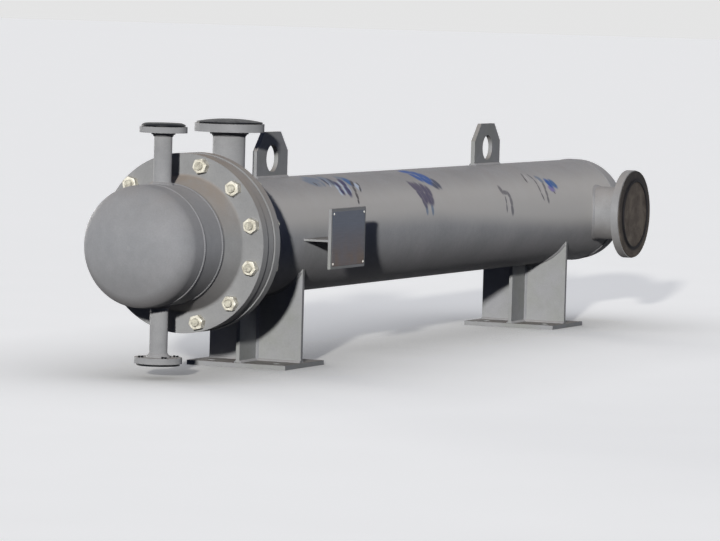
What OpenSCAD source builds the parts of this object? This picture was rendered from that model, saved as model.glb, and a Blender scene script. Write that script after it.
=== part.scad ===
// Shell and tube heat exchanger on two saddles, one channel end and one closed shell end.
// Millimetres. +X runs along the shell from the channel to the far head, +Z is up and -Y is
// the side with the nameplate. The origin is under the front saddle's base, on the centre plane.

/* [Shell] */
// Outside diameter of the shell, channel and heads
shell_d = 323.8; // [300:0.1:345]
// Wall of the shell and the channel barrel
shell_wall = 9.5; // [6:0.5:14]
// Length of the shell from its girth flange's gasket face to the far head's seam
shell_run = 2745; // [2500:1:3400]
// Height of the shell's centre line above the underside of the saddles
axis_h = 355.6; // [340:0.1:450]
// Straight skirt of each head, from its seam to where it starts to curve
head_skirt = 50.8; // [30:0.1:80]
// Wall of the heads
head_wall = 9.5; // [6:0.5:14]

/* [Channel] */
// Distance of the channel nozzles from the channel head's seam
channel_nozzle_from_head = 63.5; // [40:0.5:160]
// Distance of the channel nozzles from the seam at the girth flange's hub
channel_nozzle_from_hub = 42.5; // [37:0.5:120]

/* [Girth joint] */
// Distance from the shell's surface to the bolt circle
girth_bolt_offset = 54; // [48:0.1:70]
// Distance from the bolt circle to the rim of the flanges
girth_edge = 25.4; // [22.5:0.1:34]
// Thickness of a girth flange with its raised face
girth_t = 31.8; // [26:0.1:44]
// Width between the raised face and the stud holes
girth_face_gap = 12.7; // [10:0.1:20]
// Height of the raised face on all flanges
face_rise = 1.6; // [1:0.1:3]
// Length of the hub behind the flange
girth_hub_run = 82.5; // [60:0.5:110]
// Straight end of the hub that meets the pipe
girth_hub_land = 14; // [6:0.5:24]
// Radius where the hub runs into the back of the flange
hub_root_r = 9; // [4:0.5:10]
// Room between the nuts and the root of the hub
nut_room = 3.3; // [2:0.1:6]
// Number of studs
girth_studs_n = 12; // [8:4:16]
// Diameter of the studs
stud_d = 22.2; // [18:0.1:25]
// Room around a stud in its hole
stud_play = 1.6; // [0.8:0.1:2.5]
// Width of a stud's nut across its flats
stud_nut_w = 36.5; // [32:0.1:38]
// Height of a stud's nut
stud_nut_h = 21.8; // [16:0.1:26]
// How far a stud stands out of its nuts
stud_proud = 8; // [2:0.5:20]
// Thickness of the tubesheet
tubesheet_t = 34.9; // [25:0.1:50]
// How much smaller in radius the tubesheet is than the flanges
tubesheet_inset = 2.8; // [1:0.1:5]
// Thickness of the gasket on each side of the tubesheet
gasket_t = 3.2; // [1.6:0.1:4.5]
// Width of the gasket rings
gasket_w = 28; // [20:0.5:40]

/* [Channel nozzles] */
// Outside diameter of the pipe
channel_pipe_d = 48.3; // [42:0.1:60.3]
// Wall of the pipe
channel_pipe_wall = 5.1; // [3.5:0.1:7]
// Height of the flange's face from the centre line of the channel
channel_reach = 315; // [290:0.5:330]
// Distance from the pipe's surface to the bolt circle
channel_bolt_offset = 25.05; // [22:0.05:32]
// Distance from the bolt circle to the rim of the flange
channel_edge = 14.3; // [12.5:0.1:20]
// Thickness of the flange with its raised face
channel_flange_t = 17.5; // [14:0.1:22]
// Wall of the flange's hub around the pipe
channel_hub_wall = 8.35; // [7:0.05:10]
// Height of the hub behind the flange
channel_hub_h = 4.9; // [3:0.1:12]
// Number of bolt holes
channel_bolts_n = 4; // [4:4:8]
// Diameter of the bolt holes
channel_hole_d = 15.9; // [13:0.1:17]
// Width between the raised face and the bolt holes
channel_face_gap = 4.75; // [2:0.05:8]

/* [Shell top nozzle] */
// Outside diameter of the pipe
top_pipe_d = 88.9; // [73:0.1:101.6]
// Wall of the pipe
top_pipe_wall = 5.5; // [4:0.1:8]
// Distance from the shell's gasket face to the nozzle
top_from_girth = 201; // [170:0.5:215]
// Height of the flange's face from the centre line of the shell
top_reach = 317.5; // [290:0.5:340]
// Distance from the pipe's surface to the bolt circle
top_bolt_offset = 31.75; // [27:0.05:40]
// Distance from the bolt circle to the rim of the flange
top_edge = 19.05; // [14:0.05:26]
// Thickness of the flange with its raised face
top_flange_t = 23.9; // [18:0.1:28]
// Wall of the flange's hub around the pipe
top_hub_wall = 9.55; // [7:0.05:12]
// Height of the hub behind the flange
top_hub_h = 6.3; // [4:0.1:14]
// Number of bolt holes
top_bolts_n = 4; // [4:4:8]
// Diameter of the bolt holes
top_hole_d = 19.1; // [16:0.1:21]
// Width between the raised face and the bolt holes
top_face_gap = 3.15; // [1:0.05:8]

/* [Shell side nozzle] */
// Outside diameter of the pipe
side_pipe_d = 168.3; // [141.3:0.1:175]
// Wall of the pipe
side_pipe_wall = 7.1; // [5:0.1:11]
// Distance from the nozzle to the far head's seam
side_from_seam = 121; // [100:0.5:180]
// Distance of the flange's face from the centre plane of the shell
side_reach = 266.7; // [245:0.5:300]
// Distance from the pipe's surface to the bolt circle
side_bolt_offset = 36.5; // [32:0.05:46]
// Distance from the bolt circle to the rim of the flange
side_edge = 19.05; // [14:0.05:26]
// Thickness of the flange with its raised face
side_flange_t = 25.4; // [20:0.1:30]
// Wall of the flange's hub around the pipe
side_hub_wall = 11.85; // [9:0.05:14]
// Height of the hub behind the flange
side_hub_h = 14.2; // [8:0.1:20]
// Number of bolt holes
side_bolts_n = 8; // [4:4:12]
// Diameter of the bolt holes
side_hole_d = 22.2; // [19:0.1:24]
// Width between the raised face and the bolt holes
side_face_gap = 1.6; // [1:0.1:6]

/* [Flat covers] */
// Thickness of a flat cover's disc
cover_t = 4; // [2:0.5:8]
// Depth of the plug of a cover or a cap inside the nozzle
cover_plug_h = 16; // [10:0.5:24]
// How much smaller in radius the side cover is than its flange
side_cover_inset = 2; // [1:0.5:4]
// Distance from the bolt circle in to the rib of the side cover
side_rib_gap = 13; // [6:0.5:24]
// Width of the side cover's rib
side_rib_w = 4; // [2:0.5:8]
// Height of the side cover's rib
side_rib_h = 4; // [2:0.5:8]
// How far the underside cover reaches beyond the bolt holes
underside_cover_lip = 0.5; // [0.5:0.5:4]
// Room around a peg of the underside cover in its bolt hole
peg_play = 0.5; // [0.3:0.1:1.5]
// How far a peg stands out behind the flange
peg_proud = 4; // [2:0.5:8]
// Width of the slot that splits a peg
peg_slot = 8; // [3:0.5:8]

/* [Push-in caps] */
// How much smaller in radius a cap is than its flange
cap_inset = 5; // [1:0.5:9]
// Height of a cap's upright rim
cap_rim_h = 3; // [1.5:0.1:5]
// Height of the channel nozzle's cap
channel_cap_h = 8.5; // [6:0.5:14]
// Width of the rounded shoulder of the channel nozzle's cap
channel_cap_shoulder = 15; // [8:0.5:30]
// Height of the shell nozzle's cap
top_cap_h = 11.5; // [7:0.5:18]
// Width of the rounded shoulder of the shell nozzle's cap
top_cap_shoulder = 80; // [20:1:84]

/* [Lifting lugs] */
// Place of the front lug's middle along the shell
front_lug_x = 62; // [0:1:200]
// Distance between the two lugs
lug_spacing = 1554; // [1300:1:1700]
// Thickness of a lug
lug_t = 12.7; // [8:0.1:20]
// Length of a lug along the shell
lug_run = 200; // [170:1:240]
// Height of a lug above the top of the shell
lug_h = 127; // [115:0.5:160]
// Height of a lug's upright ends
lug_end_h = 74; // [50:0.5:90]
// Length of a lug's flat top
lug_top_run = 104; // [90:1:140]
// Diameter of the shackle hole
lug_hole_d = 76; // [50:0.5:80]
// Height of the shackle hole's middle above the top of the shell
lug_hole_h = 53; // [50:0.5:64]

/* [Saddles] */
// Distance between the two saddles
saddle_spacing = 1970; // [1500:1:2050]
// Distance from the shell's gasket face to the front saddle
saddle_from_girth = 404; // [380:1:460]
// Width of a saddle across the shell
saddle_w = 280; // [240:1:290]
// Thickness of the saddle's web
web_t = 12.7; // [8:0.1:20]
// Thickness of the saddle's ribs
rib_t = 11; // [6:0.1:20]
// How far the ribs stand out from the web
rib_run = 110; // [80:1:116]
// Length of the base plate along the shell
base_run = 254; // [246:1:320]
// Width of the base plate across the shell
base_w = 300; // [292:1:360]
// Thickness of the base plate
base_t = 12.7; // [8:0.1:25]
// Distance between the anchor holes along the shell
anchor_run = 152; // [120:1:180]
// Distance between the anchor holes across the shell
anchor_w = 200; // [140:1:230]
// Diameter of the anchor holes
anchor_hole_d = 22; // [16:0.5:26]
// Length of the slots in the rear, sliding saddle
anchor_slot_run = 44; // [30:1:50]

/* [Nameplate] */
// Distance from the side of the shell to the backing plate
plate_standoff = 73; // [50:0.5:110]
// Length of the backing plate along the shell
plate_run = 228; // [160:1:260]
// Height of the backing plate
plate_h = 166; // [120:1:200]
// Thickness of the backing plate
plate_t = 9; // [4:0.5:12]
// Height of the backing plate's middle above the centre line
plate_rise = 5; // [-20:1:40]
// Thickness of the shelf
shelf_t = 6; // [4:0.5:12]
// Border of the backing plate around the nameplate
plate_border = 8; // [5:0.5:20]
// Thickness of the nameplate
nameplate_t = 1.2; // [0.8:0.1:3]
// Diameter of a rivet's head
rivet_d = 7; // [4:0.5:8]
// Height of a rivet's head
rivet_h = 2; // [1:0.5:3]

/* [Welds] */
// Width of the seam beads
seam_w = 10; // [6:0.5:16]
// Height of the seam beads
seam_h = 2; // [1:0.5:3.5]
// Leg of the fillet welds
fillet_leg = 6; // [3:0.5:7.5]

/* [Hidden] */
$fn = 96;

// Paint and metal colours
primer = [0.56, 0.56, 0.57];
cover_colour = [0.15, 0.13, 0.12];
zinc = [0.83, 0.82, 0.76];

// A cut runs this far past the solid that it opens
past = 1;
// Crown and knuckle radii of a two to one head, as shares of its outside diameter
crown_share = 0.904;
knuckle_share = 0.173;

// Radii and walls
shell_r = shell_d / 2;
bore_r = shell_r - shell_wall;

// The girth joint's diameters, from the shell outwards
girth_circle_d = shell_d + 2 * girth_bolt_offset;
girth_hole_d = stud_d + 2 * stud_play;
girth_d = girth_circle_d + 2 * girth_edge;
girth_face_d = girth_circle_d - girth_hole_d - 2 * girth_face_gap;
nut_corner_r = stud_nut_w / (2 * cos(30));
girth_hub_d = girth_circle_d - 2 * (nut_corner_r + nut_room + hub_root_r);
tubesheet_d = girth_d - 2 * tubesheet_inset;

// The nozzle flanges' diameters, from their pipes outwards
channel_circle_d = channel_pipe_d + 2 * channel_bolt_offset;
channel_flange_d = channel_circle_d + 2 * channel_edge;
channel_hub_d = channel_pipe_d + 2 * channel_hub_wall;
channel_face_d = channel_circle_d - channel_hole_d - 2 * channel_face_gap;
top_circle_d = top_pipe_d + 2 * top_bolt_offset;
top_flange_d = top_circle_d + 2 * top_edge;
top_hub_d = top_pipe_d + 2 * top_hub_wall;
top_face_d = top_circle_d - top_hole_d - 2 * top_face_gap;
side_circle_d = side_pipe_d + 2 * side_bolt_offset;
side_flange_d = side_circle_d + 2 * side_edge;
side_hub_d = side_pipe_d + 2 * side_hub_wall;
side_face_d = side_circle_d - side_hole_d - 2 * side_face_gap;

// Places along the shell, from the gasket face of the shell's girth flange
barrel_run = channel_nozzle_from_head + channel_nozzle_from_hub;
shell_face_x = -saddle_from_girth;
shell_hub_end_x = shell_face_x + girth_t + girth_hub_run;
shell_seam_x = shell_face_x + shell_run;
tubesheet_x = shell_face_x - gasket_t - tubesheet_t;
channel_face_x = tubesheet_x - gasket_t;
channel_back_x = channel_face_x - girth_t;
channel_hub_end_x = channel_back_x - girth_hub_run;
channel_seam_x = channel_hub_end_x - barrel_run;
channel_nozzle_x = channel_seam_x + channel_nozzle_from_head;
top_nozzle_x = shell_face_x + top_from_girth;
side_nozzle_x = shell_seam_x - side_from_seam;
rear_lug_x = front_lug_x + lug_spacing;

// The girth joint's gaskets and studs
gasket_d = girth_circle_d - girth_hole_d;
stack_t = shell_face_x - channel_face_x + 2 * girth_t;
stud_run = stack_t + 2 * stud_nut_h + 2 * stud_proud;
stud_bevel = stud_d / 12;

// Room between a cover's plug and the pipe
plug_gap = 0.5;
// The pipe of a nozzle stops this far behind its flange's face
pipe_setback = 6;
// Diameters of the flat covers and of the side cover's rib
side_cover_d = side_flange_d - 2 * side_cover_inset;
side_rib_d = side_circle_d - 2 * side_rib_gap;
underside_cover_d = channel_circle_d + channel_hole_d + 2 * underside_cover_lip;

// The saddle's web stops where its arc meets its upright sides, with a small flat
horn_flat = 1.6;
horn_y = saddle_w / 2 - horn_flat;
web_top_z = axis_h - sqrt(pow(shell_r, 2) - pow(horn_y, 2));
wrap_angle = 2 * asin(horn_y / (shell_r + fillet_leg));

// The nameplate's places
plate_back_y = -shell_r - plate_standoff;
plate_face_y = plate_back_y - plate_t;
rivet_inset = 6;

// General shapes

// Turns a shape built along +Z so that it runs along the shell from x
module on_shell_axis(x) {
    translate([x, 0, axis_h]) rotate([0, 90, 0]) children();
}

// The same, running towards the channel end
module towards_channel(x) {
    translate([x, 0, axis_h]) rotate([0, -90, 0]) children();
}

module ring(outer_d, inner_d, height) {
    difference() {
        cylinder(d = outer_d, h = height);
        translate([0, 0, -past]) cylinder(d = inner_d, h = height + 2 * past);
    }
}

module around(circle_d, count) {
    for (i = [0 : count - 1])
        rotate([0, 0, (i + 0.5) * 360 / count]) translate([circle_d / 2, 0, 0]) children();
}

module hex_prism(across_flats, height) {
    cylinder(d = across_flats / cos(30), h = height, $fn = 6);
}

// The whole round of the shell, which cuts the seats of what stands on it
module shell_round() {
    on_shell_axis(channel_seam_x)
        cylinder(r = shell_r, h = shell_seam_x - channel_seam_x, $fn = 240);
}

// Outline of half a head above its skirt, with its crown and its knuckle as two true arcs
module head_outline(radius, crown_r, knuckle_r) {
    knuckle_y = radius - knuckle_r;
    drop = sqrt(pow(crown_r - knuckle_r, 2) - pow(knuckle_y, 2));
    reach = crown_r / (crown_r - knuckle_r);
    intersection() {
        union() {
            translate([knuckle_y, 0]) circle(r = knuckle_r);
            intersection() {
                translate([0, -drop]) circle(r = crown_r);
                polygon([[0, 0], [knuckle_y, 0], [knuckle_y * reach, drop * (reach - 1)],
                         [knuckle_y * reach, crown_r], [0, crown_r]]);
            }
        }
        square([radius, crown_r]);
    }
}

// A head with its skirt, the seam at z = 0 and the crown towards +Z
module head_shape() {
    crown_r = crown_share * shell_d;
    knuckle_r = knuckle_share * shell_d;
    rotate_extrude() {
        translate([0, head_skirt]) difference() {
            head_outline(shell_r, crown_r, knuckle_r);
            head_outline(shell_r - head_wall, crown_r - head_wall, knuckle_r - head_wall);
        }
        translate([shell_r - head_wall, 0]) square([head_wall, head_skirt]);
    }
}

// Outline of half a weld-neck flange, its gasket face at z = 0
module weld_neck_outline() {
    hub_r = girth_hub_d / 2;
    taper_run = girth_hub_run - girth_hub_land;
    taper = atan((hub_r - shell_r) / taper_run);
    root_x = hub_r + hub_root_r * (1 - sin(taper)) / cos(taper);
    root_y = girth_t + hub_root_r;
    difference() {
        union() {
            square([girth_face_d / 2, girth_t]);
            translate([0, face_rise]) square([girth_d / 2, girth_t - face_rise]);
            polygon([[0, girth_t - past], [hub_r, girth_t - past], [hub_r, girth_t],
                     [shell_r, girth_t + taper_run], [shell_r, girth_t + girth_hub_run],
                     [0, girth_t + girth_hub_run]]);
            difference() {
                polygon([[hub_r - past, girth_t - past], [root_x, girth_t - past], [root_x, root_y],
                         [root_x - hub_root_r * cos(taper), root_y - hub_root_r * sin(taper)],
                         [hub_r - past, girth_t]]);
                translate([root_x, root_y]) circle(r = hub_root_r);
            }
        }
        translate([0, -past]) square([bore_r, girth_t + girth_hub_run + 2 * past]);
    }
}

module weld_neck_flange() {
    difference() {
        rotate_extrude() weld_neck_outline();
        translate([0, 0, -past]) around(girth_circle_d, girth_studs_n)
            cylinder(d = girth_hole_d, h = girth_t + 2 * past);
    }
}

// A rounded bead that stands on the round shell, its middle at z = 0
module seam_bead() {
    bead_r = (pow(seam_w / 2, 2) + pow(seam_h, 2)) / (2 * seam_h);
    rotate_extrude() intersection() {
        translate([shell_r + seam_h - bead_r, 0]) circle(r = bead_r);
        translate([shell_r, -seam_w]) square([2 * seam_h, 2 * seam_w]);
    }
}

// Nozzles, built along +Z from the shell's centre line

module nozzle_neck(pipe_d, pipe_wall, reach) {
    difference() {
        cylinder(d = pipe_d, h = reach - pipe_setback);
        translate([0, 0, -past]) cylinder(d = pipe_d - 2 * pipe_wall, h = reach + past);
        rotate([0, 90, 0]) cylinder(r = bore_r, h = 2 * pipe_d, center = true);
    }
}

// A slip-on flange with a short hub behind it
module nozzle_flange(pipe_d, reach, flange_d, flange_t, hub_d, hub_h, face_d, circle_d, hole_d, holes) {
    hub_top_d = (hub_d + pipe_d) / 2 + fillet_leg;
    translate([0, 0, reach - flange_t]) difference() {
        union() {
            cylinder(d = flange_d, h = flange_t - face_rise);
            cylinder(d = face_d, h = flange_t);
            translate([0, 0, -hub_h]) cylinder(d1 = min(hub_d, hub_top_d), d2 = hub_d, h = hub_h);
        }
        translate([0, 0, -hub_h - past]) cylinder(d = pipe_d, h = flange_t + hub_h + 2 * past);
        translate([0, 0, -past]) around(circle_d, holes) cylinder(d = hole_d, h = flange_t + 2 * past);
    }
}

// The plug of a cover or a cap, which sits in the pipe
module cover_plug(pipe_d, pipe_wall, reach) {
    translate([0, 0, reach - cover_plug_h])
        cylinder(d = pipe_d - 2 * pipe_wall - 2 * plug_gap, h = cover_plug_h);
}

// A flat disc over the flange's face, with a plug
module flat_cover(pipe_d, pipe_wall, reach, cover_d) {
    translate([0, 0, reach]) cylinder(d = cover_d, h = cover_t);
    cover_plug(pipe_d, pipe_wall, reach);
}

// A moulded cap over the flange's face: an upright rim, a rounded shoulder and a flat top
module push_in_cap(pipe_d, pipe_wall, reach, flange_d, cap_h, shoulder) {
    cap_r = flange_d / 2 - cap_inset;
    flat_r = cap_r - shoulder;
    shoulder_h = cap_h - cap_rim_h;
    shoulder_r = (pow(shoulder, 2) + pow(shoulder_h, 2)) / (2 * shoulder_h);
    translate([0, 0, reach]) rotate_extrude() {
        square([cap_r, cap_rim_h]);
        square([flat_r, cap_h]);
        intersection() {
            translate([flat_r, cap_h - shoulder_r]) circle(r = shoulder_r, $fn = 720);
            translate([flat_r, 0]) square([shoulder, cap_h]);
        }
    }
    cover_plug(pipe_d, pipe_wall, reach);
}

// A cover's peg through a bolt hole, split from its tip to the middle of the flange
module split_peg(reach, flange_t, hole_d) {
    peg_d = hole_d - 2 * peg_play;
    peg_run = flange_t + peg_proud;
    translate([0, 0, reach - peg_run]) difference() {
        cylinder(d = peg_d, h = peg_run);
        translate([-peg_d, -peg_slot / 2, -past])
            cube([2 * peg_d, peg_slot, past + peg_proud + flange_t / 2]);
    }
}

// Pegs in a circle of bolt holes, all split in the same direction
module split_pegs(reach, flange_t, circle_d, hole_d, holes) {
    for (i = [0 : holes - 1]) {
        turn = (i + 0.5) * 360 / holes;
        translate([circle_d / 2 * cos(turn), circle_d / 2 * sin(turn), 0])
            split_peg(reach, flange_t, hole_d);
    }
}

// The weld where a nozzle leaves the round shell, and the one at its flange's hub
module neck_welds(pipe_d, reach, flange_t, hub_h) {
    difference() {
        intersection() {
            cylinder(d = pipe_d + 2 * fillet_leg, h = reach);
            rotate([0, 90, 0]) cylinder(r = shell_r + fillet_leg, h = 2 * pipe_d, center = true);
        }
        cylinder(d = pipe_d, h = reach);
        rotate([0, 90, 0]) cylinder(r = shell_r, h = 3 * pipe_d, center = true);
    }
    translate([0, 0, reach - flange_t - hub_h - fillet_leg]) difference() {
        cylinder(d1 = pipe_d, d2 = pipe_d + fillet_leg, h = fillet_leg);
        translate([0, 0, -past]) cylinder(d = pipe_d, h = fillet_leg + 2 * past);
    }
}

// Where each nozzle stands

module at_channel_top() {
    translate([channel_nozzle_x, 0, axis_h]) children();
}

module at_channel_underside() {
    translate([channel_nozzle_x, 0, axis_h]) rotate([180, 0, 0]) children();
}

module at_shell_top() {
    translate([top_nozzle_x, 0, axis_h]) children();
}

module at_shell_side() {
    translate([side_nozzle_x, 0, axis_h]) rotate([90, 0, 0]) children();
}

module channel_nozzle_neck() {
    nozzle_neck(channel_pipe_d, channel_pipe_wall, channel_reach);
}

module channel_nozzle_flange() {
    nozzle_flange(channel_pipe_d, channel_reach, channel_flange_d, channel_flange_t, channel_hub_d,
                  channel_hub_h, channel_face_d, channel_circle_d, channel_hole_d, channel_bolts_n);
}

// Channel end

module channel_head() {
    color(primer) towards_channel(channel_seam_x) head_shape();
}

module channel_barrel() {
    color(primer) difference() {
        on_shell_axis(channel_seam_x) ring(shell_d, 2 * bore_r, barrel_run);
        at_channel_top() cylinder(d = channel_pipe_d, h = shell_d);
        at_channel_underside() cylinder(d = channel_pipe_d, h = shell_d);
    }
}

module channel_flange() {
    color(primer) towards_channel(channel_face_x) weld_neck_flange();
}

module channel_seam_welds() {
    color(primer) {
        on_shell_axis(channel_seam_x) seam_bead();
        on_shell_axis(channel_hub_end_x) seam_bead();
    }
}

// Girth joint

module channel_gasket() {
    color("dimgray") on_shell_axis(channel_face_x) ring(gasket_d, gasket_d - 2 * gasket_w, gasket_t);
}

module tubesheet() {
    color(primer) on_shell_axis(tubesheet_x) difference() {
        cylinder(d = tubesheet_d, h = tubesheet_t);
        translate([0, 0, -past]) around(girth_circle_d, girth_studs_n)
            cylinder(d = girth_hole_d, h = tubesheet_t + 2 * past);
    }
}

module shell_gasket() {
    color("dimgray") on_shell_axis(shell_face_x - gasket_t)
        ring(gasket_d, gasket_d - 2 * gasket_w, gasket_t);
}

module girth_studs() {
    color(zinc) on_shell_axis(channel_back_x - stud_nut_h - stud_proud)
        around(girth_circle_d, girth_studs_n) {
            cylinder(d1 = stud_d - 2 * stud_bevel, d2 = stud_d, h = stud_bevel);
            translate([0, 0, stud_bevel]) cylinder(d = stud_d, h = stud_run - 2 * stud_bevel);
            translate([0, 0, stud_run - stud_bevel])
                cylinder(d1 = stud_d, d2 = stud_d - 2 * stud_bevel, h = stud_bevel);
        }
}

module stud_nuts() {
    around(girth_circle_d, girth_studs_n) difference() {
        hex_prism(stud_nut_w, stud_nut_h);
        translate([0, 0, -past]) cylinder(d = stud_d, h = stud_nut_h + 2 * past);
    }
}

module girth_nuts_channel_side() {
    color(zinc) on_shell_axis(channel_back_x - stud_nut_h) stud_nuts();
}

module girth_nuts_shell_side() {
    color(zinc) on_shell_axis(shell_face_x + girth_t) stud_nuts();
}

// Shell

module shell_flange() {
    color(primer) on_shell_axis(shell_face_x) weld_neck_flange();
}

module shell_cylinder() {
    color(primer) difference() {
        on_shell_axis(shell_hub_end_x) ring(shell_d, 2 * bore_r, shell_seam_x - shell_hub_end_x);
        at_shell_top() cylinder(d = top_pipe_d, h = shell_d);
        at_shell_side() cylinder(d = side_pipe_d, h = shell_d);
    }
}

module shell_head() {
    color(primer) on_shell_axis(shell_seam_x) head_shape();
}

module shell_seam_welds() {
    color(primer) {
        on_shell_axis(shell_hub_end_x) seam_bead();
        on_shell_axis(shell_seam_x) seam_bead();
    }
}

// Channel nozzles

module channel_top_neck() {
    color(primer) at_channel_top() channel_nozzle_neck();
}

module channel_top_flange() {
    color(primer) at_channel_top() channel_nozzle_flange();
}

module channel_top_cover() {
    color(cover_colour) at_channel_top()
        push_in_cap(channel_pipe_d, channel_pipe_wall, channel_reach, channel_flange_d,
                    channel_cap_h, channel_cap_shoulder);
}

module channel_underside_neck() {
    color(primer) at_channel_underside() channel_nozzle_neck();
}

module channel_underside_flange() {
    color(primer) at_channel_underside() channel_nozzle_flange();
}

module channel_underside_cover() {
    color(cover_colour) at_channel_underside() {
        flat_cover(channel_pipe_d, channel_pipe_wall, channel_reach, underside_cover_d);
        split_pegs(channel_reach, channel_flange_t, channel_circle_d, channel_hole_d, channel_bolts_n);
    }
}

// Shell nozzles

module shell_top_neck() {
    color(primer) at_shell_top() nozzle_neck(top_pipe_d, top_pipe_wall, top_reach);
}

module shell_top_flange() {
    color(primer) at_shell_top()
        nozzle_flange(top_pipe_d, top_reach, top_flange_d, top_flange_t, top_hub_d, top_hub_h,
                      top_face_d, top_circle_d, top_hole_d, top_bolts_n);
}

module shell_top_cover() {
    color(cover_colour) at_shell_top()
        push_in_cap(top_pipe_d, top_pipe_wall, top_reach, top_flange_d, top_cap_h, top_cap_shoulder);
}

module shell_side_neck() {
    color(primer) at_shell_side() nozzle_neck(side_pipe_d, side_pipe_wall, side_reach);
}

module shell_side_flange() {
    color(primer) at_shell_side()
        nozzle_flange(side_pipe_d, side_reach, side_flange_d, side_flange_t, side_hub_d, side_hub_h,
                      side_face_d, side_circle_d, side_hole_d, side_bolts_n);
}

module shell_side_cover() {
    color(cover_colour) at_shell_side() {
        flat_cover(side_pipe_d, side_pipe_wall, side_reach, side_cover_d);
        translate([0, 0, side_reach + cover_t])
            ring(side_rib_d, side_rib_d - 2 * side_rib_w, side_rib_h);
    }
}

module nozzle_welds() {
    color(primer) {
        at_channel_top() neck_welds(channel_pipe_d, channel_reach, channel_flange_t, channel_hub_h);
        at_channel_underside() neck_welds(channel_pipe_d, channel_reach, channel_flange_t, channel_hub_h);
        at_shell_top() neck_welds(top_pipe_d, top_reach, top_flange_t, top_hub_h);
        at_shell_side() neck_welds(side_pipe_d, side_reach, side_flange_t, side_hub_h);
    }
}

// Lifting lugs

module lug_plate(x) {
    half = lug_run / 2;
    half_top = lug_top_run / 2;
    difference() {
        translate([x, lug_t / 2, axis_h]) rotate([90, 0, 0]) linear_extrude(height = lug_t)
            difference() {
                polygon([[-half, 0], [half, 0], [half, shell_r + lug_end_h],
                         [half_top, shell_r + lug_h], [-half_top, shell_r + lug_h],
                         [-half, shell_r + lug_end_h]]);
                translate([0, shell_r + lug_hole_h]) circle(d = lug_hole_d);
            }
        shell_round();
    }
}

// Fillets along both sides of a lug's foot
module lug_fillets(x) {
    difference() {
        translate([x - lug_run / 2, 0, axis_h + shell_r]) rotate([90, 0, 90])
            linear_extrude(height = lug_run)
                polygon([[-lug_t / 2 - fillet_leg, -fillet_leg], [lug_t / 2 + fillet_leg, -fillet_leg],
                         [lug_t / 2 + fillet_leg, 0], [lug_t / 2, fillet_leg],
                         [-lug_t / 2, fillet_leg], [-lug_t / 2 - fillet_leg, 0]]);
        translate([x - lug_run, -lug_t / 2, axis_h]) cube([2 * lug_run, lug_t, shell_d]);
        shell_round();
    }
}

module front_lifting_lug() {
    color(primer) lug_plate(front_lug_x);
}

module rear_lifting_lug() {
    color(primer) lug_plate(rear_lug_x);
}

module lug_welds() {
    color(primer) {
        lug_fillets(front_lug_x);
        lug_fillets(rear_lug_x);
    }
}

// Saddles, built about x = 0

module saddle_web() {
    difference() {
        translate([-web_t / 2, -saddle_w / 2, base_t]) cube([web_t, saddle_w, web_top_z - base_t]);
        shell_round();
    }
}

// A rib in front of the web and one behind it, each up to the underside of the shell
module saddle_ribs() {
    for (side = [-1, 1])
        translate([side * (web_t + rib_run) / 2, 0, 0]) difference() {
            translate([-rib_run / 2, -rib_t / 2, base_t]) cube([rib_run, rib_t, axis_h - shell_r]);
            translate([-rib_run, 0, axis_h]) rotate([0, 90, 0])
                cylinder(r = shell_r, h = 2 * rib_run);
        }
}

// A base plate with four anchor openings of the shape given
module saddle_base() {
    difference() {
        translate([-base_run / 2, -base_w / 2, 0]) cube([base_run, base_w, base_t]);
        for (x = [-1, 1], y = [-1, 1])
            translate([x * anchor_run / 2, y * anchor_w / 2, -past]) children();
    }
}

module anchor_hole() {
    cylinder(d = anchor_hole_d, h = base_t + 2 * past);
}

module anchor_slot() {
    slide = (anchor_slot_run - anchor_hole_d) / 2;
    for (end = [-1, 1]) translate([end * slide, 0, 0]) anchor_hole();
    translate([-slide, -anchor_hole_d / 2, 0]) cube([2 * slide, anchor_hole_d, base_t + 2 * past]);
}

// The fillets that follow the shell's round on both faces of the web, up to the ribs
module shell_fillets() {
    difference() {
        for (side = [0, 1])
            translate([0, 0, axis_h]) mirror([side, 0, 0]) rotate([0, 90, 0])
                rotate([0, 0, -wrap_angle / 2]) rotate_extrude(angle = wrap_angle)
                    polygon([[shell_r, web_t / 2], [shell_r + fillet_leg, web_t / 2],
                             [shell_r, web_t / 2 + fillet_leg]]);
        translate([-web_t - rib_run, -rib_t / 2, 0]) cube([2 * (web_t + rib_run), rib_t, axis_h]);
    }
}

// A fillet along +Z in the corner between +X and +Y
module corner_fillet(run) {
    linear_extrude(height = run) polygon([[0, 0], [fillet_leg, 0], [0, fillet_leg]]);
}

// The straight fillets between web and ribs, and along their feet
module foot_fillets() {
    for (x = [0, 1], y = [0, 1]) mirror([x, 0, 0]) mirror([0, y, 0]) {
        translate([web_t / 2, rib_t / 2, base_t]) {
            corner_fillet(axis_h - shell_r - fillet_leg - base_t);
            rotate([90, 0, 90]) corner_fillet(rib_run);
        }
        translate([web_t / 2, saddle_w / 2, base_t])
            rotate([90, 0, 0]) corner_fillet((saddle_w - rib_t) / 2);
    }
}

module saddle_fillets() {
    shell_fillets();
    foot_fillets();
}

module front_saddle_web() {
    color(primer) saddle_web();
}

module front_saddle_ribs() {
    color(primer) saddle_ribs();
}

module front_saddle_base() {
    color(primer) saddle_base() anchor_hole();
}

module rear_saddle_web() {
    color(primer) translate([saddle_spacing, 0, 0]) saddle_web();
}

module rear_saddle_ribs() {
    color(primer) translate([saddle_spacing, 0, 0]) saddle_ribs();
}

module rear_saddle_base() {
    color(primer) translate([saddle_spacing, 0, 0]) saddle_base() anchor_slot();
}

module saddle_welds() {
    color(primer) {
        saddle_fillets();
        translate([saddle_spacing, 0, 0]) saddle_fillets();
    }
}

// Nameplate

module nameplate_shelf() {
    color(primer) difference() {
        translate([front_lug_x - plate_run / 2, plate_back_y, axis_h - shelf_t / 2])
            cube([plate_run, shell_r + plate_standoff, shelf_t]);
        shell_round();
    }
}

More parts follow.
